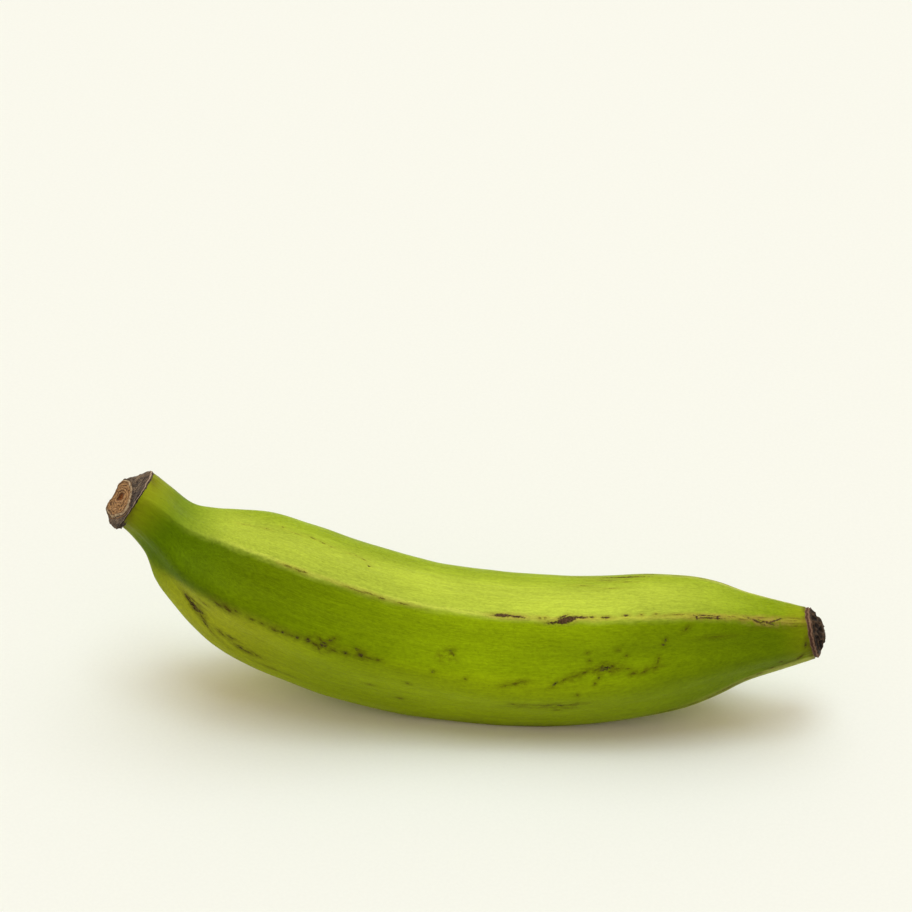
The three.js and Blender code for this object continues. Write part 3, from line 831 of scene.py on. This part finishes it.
def cut_finish():
    """The dried cut: tan, with fine uneven growth rings, dark checks, a red-brown pith and a pale rim."""
    f = Finish("plantain_cut_face")
    grain = f.field("grain")
    out = f.field("crest")
    wobble = f.noise(grain, (0.3, 0.3, 0.3), 3)
    phase = f.math("ADD", f.math("MULTIPLY", out, 38), f.math("MULTIPLY", wobble, 15))
    uneven = f.noise(grain, (0.5, 0.8, 0.8), 2)
    rings = f.math("MULTIPLY", f.step(f.math("SINE", phase), 0, 0.95), f.step(uneven, 0.3, 0.6, 0.2, 1))
    fibres = f.noise(grain, (1.5, 1.8, 1.8), 4, 0.7)
    colour = f.blend(f.step(fibres, 0.35, 0.65), paint(134, 90, 50), paint(192, 148, 98))
    colour = f.blend(f.math("MULTIPLY", rings, 0.85), colour, paint(72, 42, 24))
    checks = f.step(f.noise(grain, (0.7, 1.3, 1.3), 3), 0.6, 0.68, 0, 0.7)
    colour = f.blend(checks, colour, paint(66, 42, 26))
    heart = f.math("ADD", out, f.math("MULTIPLY", f.math("SUBTRACT", wobble, 0.5), 0.3))
    colour = f.blend(f.step(heart, 0.22, 0.28, 0.85, 0), colour, paint(78, 40, 16))
    colour = f.blend(f.step(heart, 0.14, 0.2, 0.85, 0), colour, paint(164, 98, 46))
    colour = f.blend(f.step(heart, 0.04, 0.1, 0.8, 0), colour, paint(92, 44, 16))
    colour = f.blend(f.step(out, 0.8, 0.86, 0, 0.6), colour, paint(86, 56, 36))
    worn = f.math("MULTIPLY", f.step(out, 0.87, 0.92), f.step(uneven, 0.35, 0.6, 0.2, 0.8))
    colour = f.blend(worn, colour, paint(204, 180, 146))
    colour = f.blend(f.step(out, 0.95, 0.99, 0, 0.9), colour, paint(58, 40, 32))
    f.feed(f.shader.inputs["Base Color"], colour)
    f.feed(f.shader.inputs["Roughness"], f.step(fibres, 0.3, 0.7, 0.7, 0.9))
    f.feed(f.shader.inputs["Normal"], f.bump(fibres, 0.3, f.bump(rings, 0.2)))
    f.shader.inputs["Specular IOR Level"].default_value = 0.25
    return f.material


def scar_finish():
    """The dried blossom scar: a thin brown ring with light edges, and dark crumpled folds with paler crests."""
    f = Finish("plantain_blossom_scar")
    grain = f.field("grain")
    crest = f.field("crest")
    distance = f.vector("DOT_PRODUCT", grain, (1, 0, 0), "Value")
    height = f.math("SUBTRACT", distance, FRUIT_LENGTH)
    shade = f.noise(grain, (0.5, 0.6, 0.6), 4, 0.65)
    specks = f.noise(grain, (1.8, 2.2, 2.2), 3, 0.7)
    colour = f.blend(f.step(shade, 0.35, 0.65), paint(22, 14, 10), paint(52, 36, 24))
    colour = f.blend(f.step(crest, 0.6, 0.95, 0, 0.5), colour, paint(100, 74, 50))
    ring = f.step(height, 1.3, 1.8, 1, 0)
    colour = f.blend(f.math("MULTIPLY", ring, 0.85), colour, paint(86, 54, 40))
    wavy = f.math("ADD", height, f.step(shade, 0.2, 0.8, -0.3, 0.3))
    inner = f.math("MULTIPLY", f.step(wavy, 1.0, 1.2), f.step(wavy, 1.4, 1.7, 1, 0))
    outer = f.step(wavy, 0.2, 0.5, 1, 0)
    light = f.math("MULTIPLY", f.math("MAXIMUM", inner, outer), f.step(specks, 0.3, 0.6, 0.3, 0.8))
    colour = f.blend(light, colour, paint(158, 122, 96))
    colour = f.blend(f.step(specks, 0.55, 0.7, 0, 0.5), colour, paint(34, 22, 16))
    f.feed(f.shader.inputs["Base Color"], colour)
    f.feed(f.shader.inputs["Roughness"], f.step(specks, 0.3, 0.7, 0.55, 0.85))
    f.feed(f.shader.inputs["Normal"], f.bump(specks, 0.3, f.bump(shade, 0.4)))
    f.shader.inputs["Specular IOR Level"].default_value = 0.25
    return f.material


def floor_finish():
    """A cream surface with a faint tooth."""
    f = Finish("cream_surface")
    place = f.tree.nodes.new("ShaderNodeNewGeometry").outputs["Position"]
    tooth = f.noise(place, (900, 900, 900), 3)
    f.feed(f.shader.inputs["Base Color"], f.blend(f.step(tooth, 0.3, 0.7), paint(244, 245, 238), paint(246, 247, 240)))
    f.feed(f.shader.inputs["Roughness"], f.step(tooth, 0.3, 0.7, 0.8, 0.9))
    f.feed(f.shader.inputs["Normal"], f.bump(tooth, 0.02))
    return f.material


def add_fruit():
    mesh = fruit_mesh()
    for finish in (peel_finish(), bark_finish(), cut_finish(), scar_finish()):
        mesh.materials.append(finish)
    fruit = bpy.data.objects.new("plantain_fruit", mesh)
    bpy.context.scene.collection.objects.link(fruit)
    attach(fruit, "root")
    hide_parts(NODE)
    return fruit


def add_floor():
    reach = 4.0
    mesh = bpy.data.meshes.new("floor")
    corners = [(-reach, -reach, 0), (reach, -reach, 0), (reach, reach, 0), (-reach, reach, 0)]
    mesh.from_pydata(corners, [], [(0, 1, 2, 3)])
    mesh.materials.append(floor_finish())
    floor = bpy.data.objects.new("floor", mesh)
    bpy.context.scene.collection.objects.link(floor)
    return floor


def aim(thing, place, at):
    thing.location = place
    thing.rotation_euler = (Vector(at) - Vector(place)).to_track_quat("-Z", "Y").to_euler()


def add_light(name, azimuth, elevation, spread, strength, colour, lit):
    """A soft far light of a studio. azimuth is counted from the front, and spread is its width in degrees."""
    lamp = bpy.data.lights.new(name, "SUN")
    lamp.angle = math.radians(spread)
    lamp.energy = strength
    lamp.color = colour
    light = bpy.data.objects.new(name, lamp)
    bpy.context.scene.collection.objects.link(light)
    turn, rise = math.radians(azimuth), math.radians(elevation)
    toward = Vector((math.sin(turn) * math.cos(rise), -math.cos(turn) * math.cos(rise), math.sin(rise)))
    light.rotation_euler = toward.to_track_quat("Z", "Y").to_euler()
    light.light_linking.receiver_collection = lit


def add_lights(fruit, floor):
    """A broad light overhead, fainter ones at the sides and behind, and a pale surround that is only seen."""
    lit = {}
    for name, thing in (("fruit", fruit), ("floor", floor)):
        lit[name] = bpy.data.collections.new("lit_" + name)
        lit[name].objects.link(thing)
    for *light, lights in LIGHTS:
        add_light(*light, lit[lights])
    world = bpy.data.worlds.new("surround")
    world.use_nodes = True
    bpy.context.scene.world = world
    background = world.node_tree.nodes["Background"]
    background.inputs["Color"].default_value = paint(251, 249, 237)
    background.inputs["Strength"].default_value = 1.0
    world.cycles_visibility.diffuse = False
    world.cycles_visibility.glossy = False
    bpy.context.scene.view_settings.view_transform = "Standard"


def add_camera():
    """The camera stands off along the view and looks a little past the fruit, as the picture is framed."""
    azimuth = math.radians(VIEW_AZIMUTH)
    elevation = math.radians(VIEW_ELEVATION)
    back = Vector(
        (math.sin(azimuth) * math.cos(elevation), -math.cos(azimuth) * math.cos(elevation), math.sin(elevation))
    )
    right = Vector((math.cos(azimuth), math.sin(azimuth), 0))
    up = back.cross(right)
    set_out = Vector((0, 0, SET_OUT_HEIGHT * MM))
    pixel = MM_PER_PIXEL * MM
    centre = PICTURE_SIZE / 2
    looked_at = set_out + right * (centre - SET_OUT_PIXEL[0]) * pixel + up * (SET_OUT_PIXEL[1] - centre) * pixel
    lens = bpy.data.cameras.new("camera")
    lens.sensor_width = SENSOR_WIDTH
    lens.lens = SENSOR_WIDTH * VIEW_DISTANCE / (pixel * PICTURE_SIZE)
    camera = bpy.data.objects.new("camera", lens)
    bpy.context.scene.collection.objects.link(camera)
    aim(camera, set_out + back * VIEW_DISTANCE, looked_at)
    bpy.context.scene.camera = camera


add_camera()
fruit = add_fruit()
floor = add_floor()
add_lights(fruit, floor)
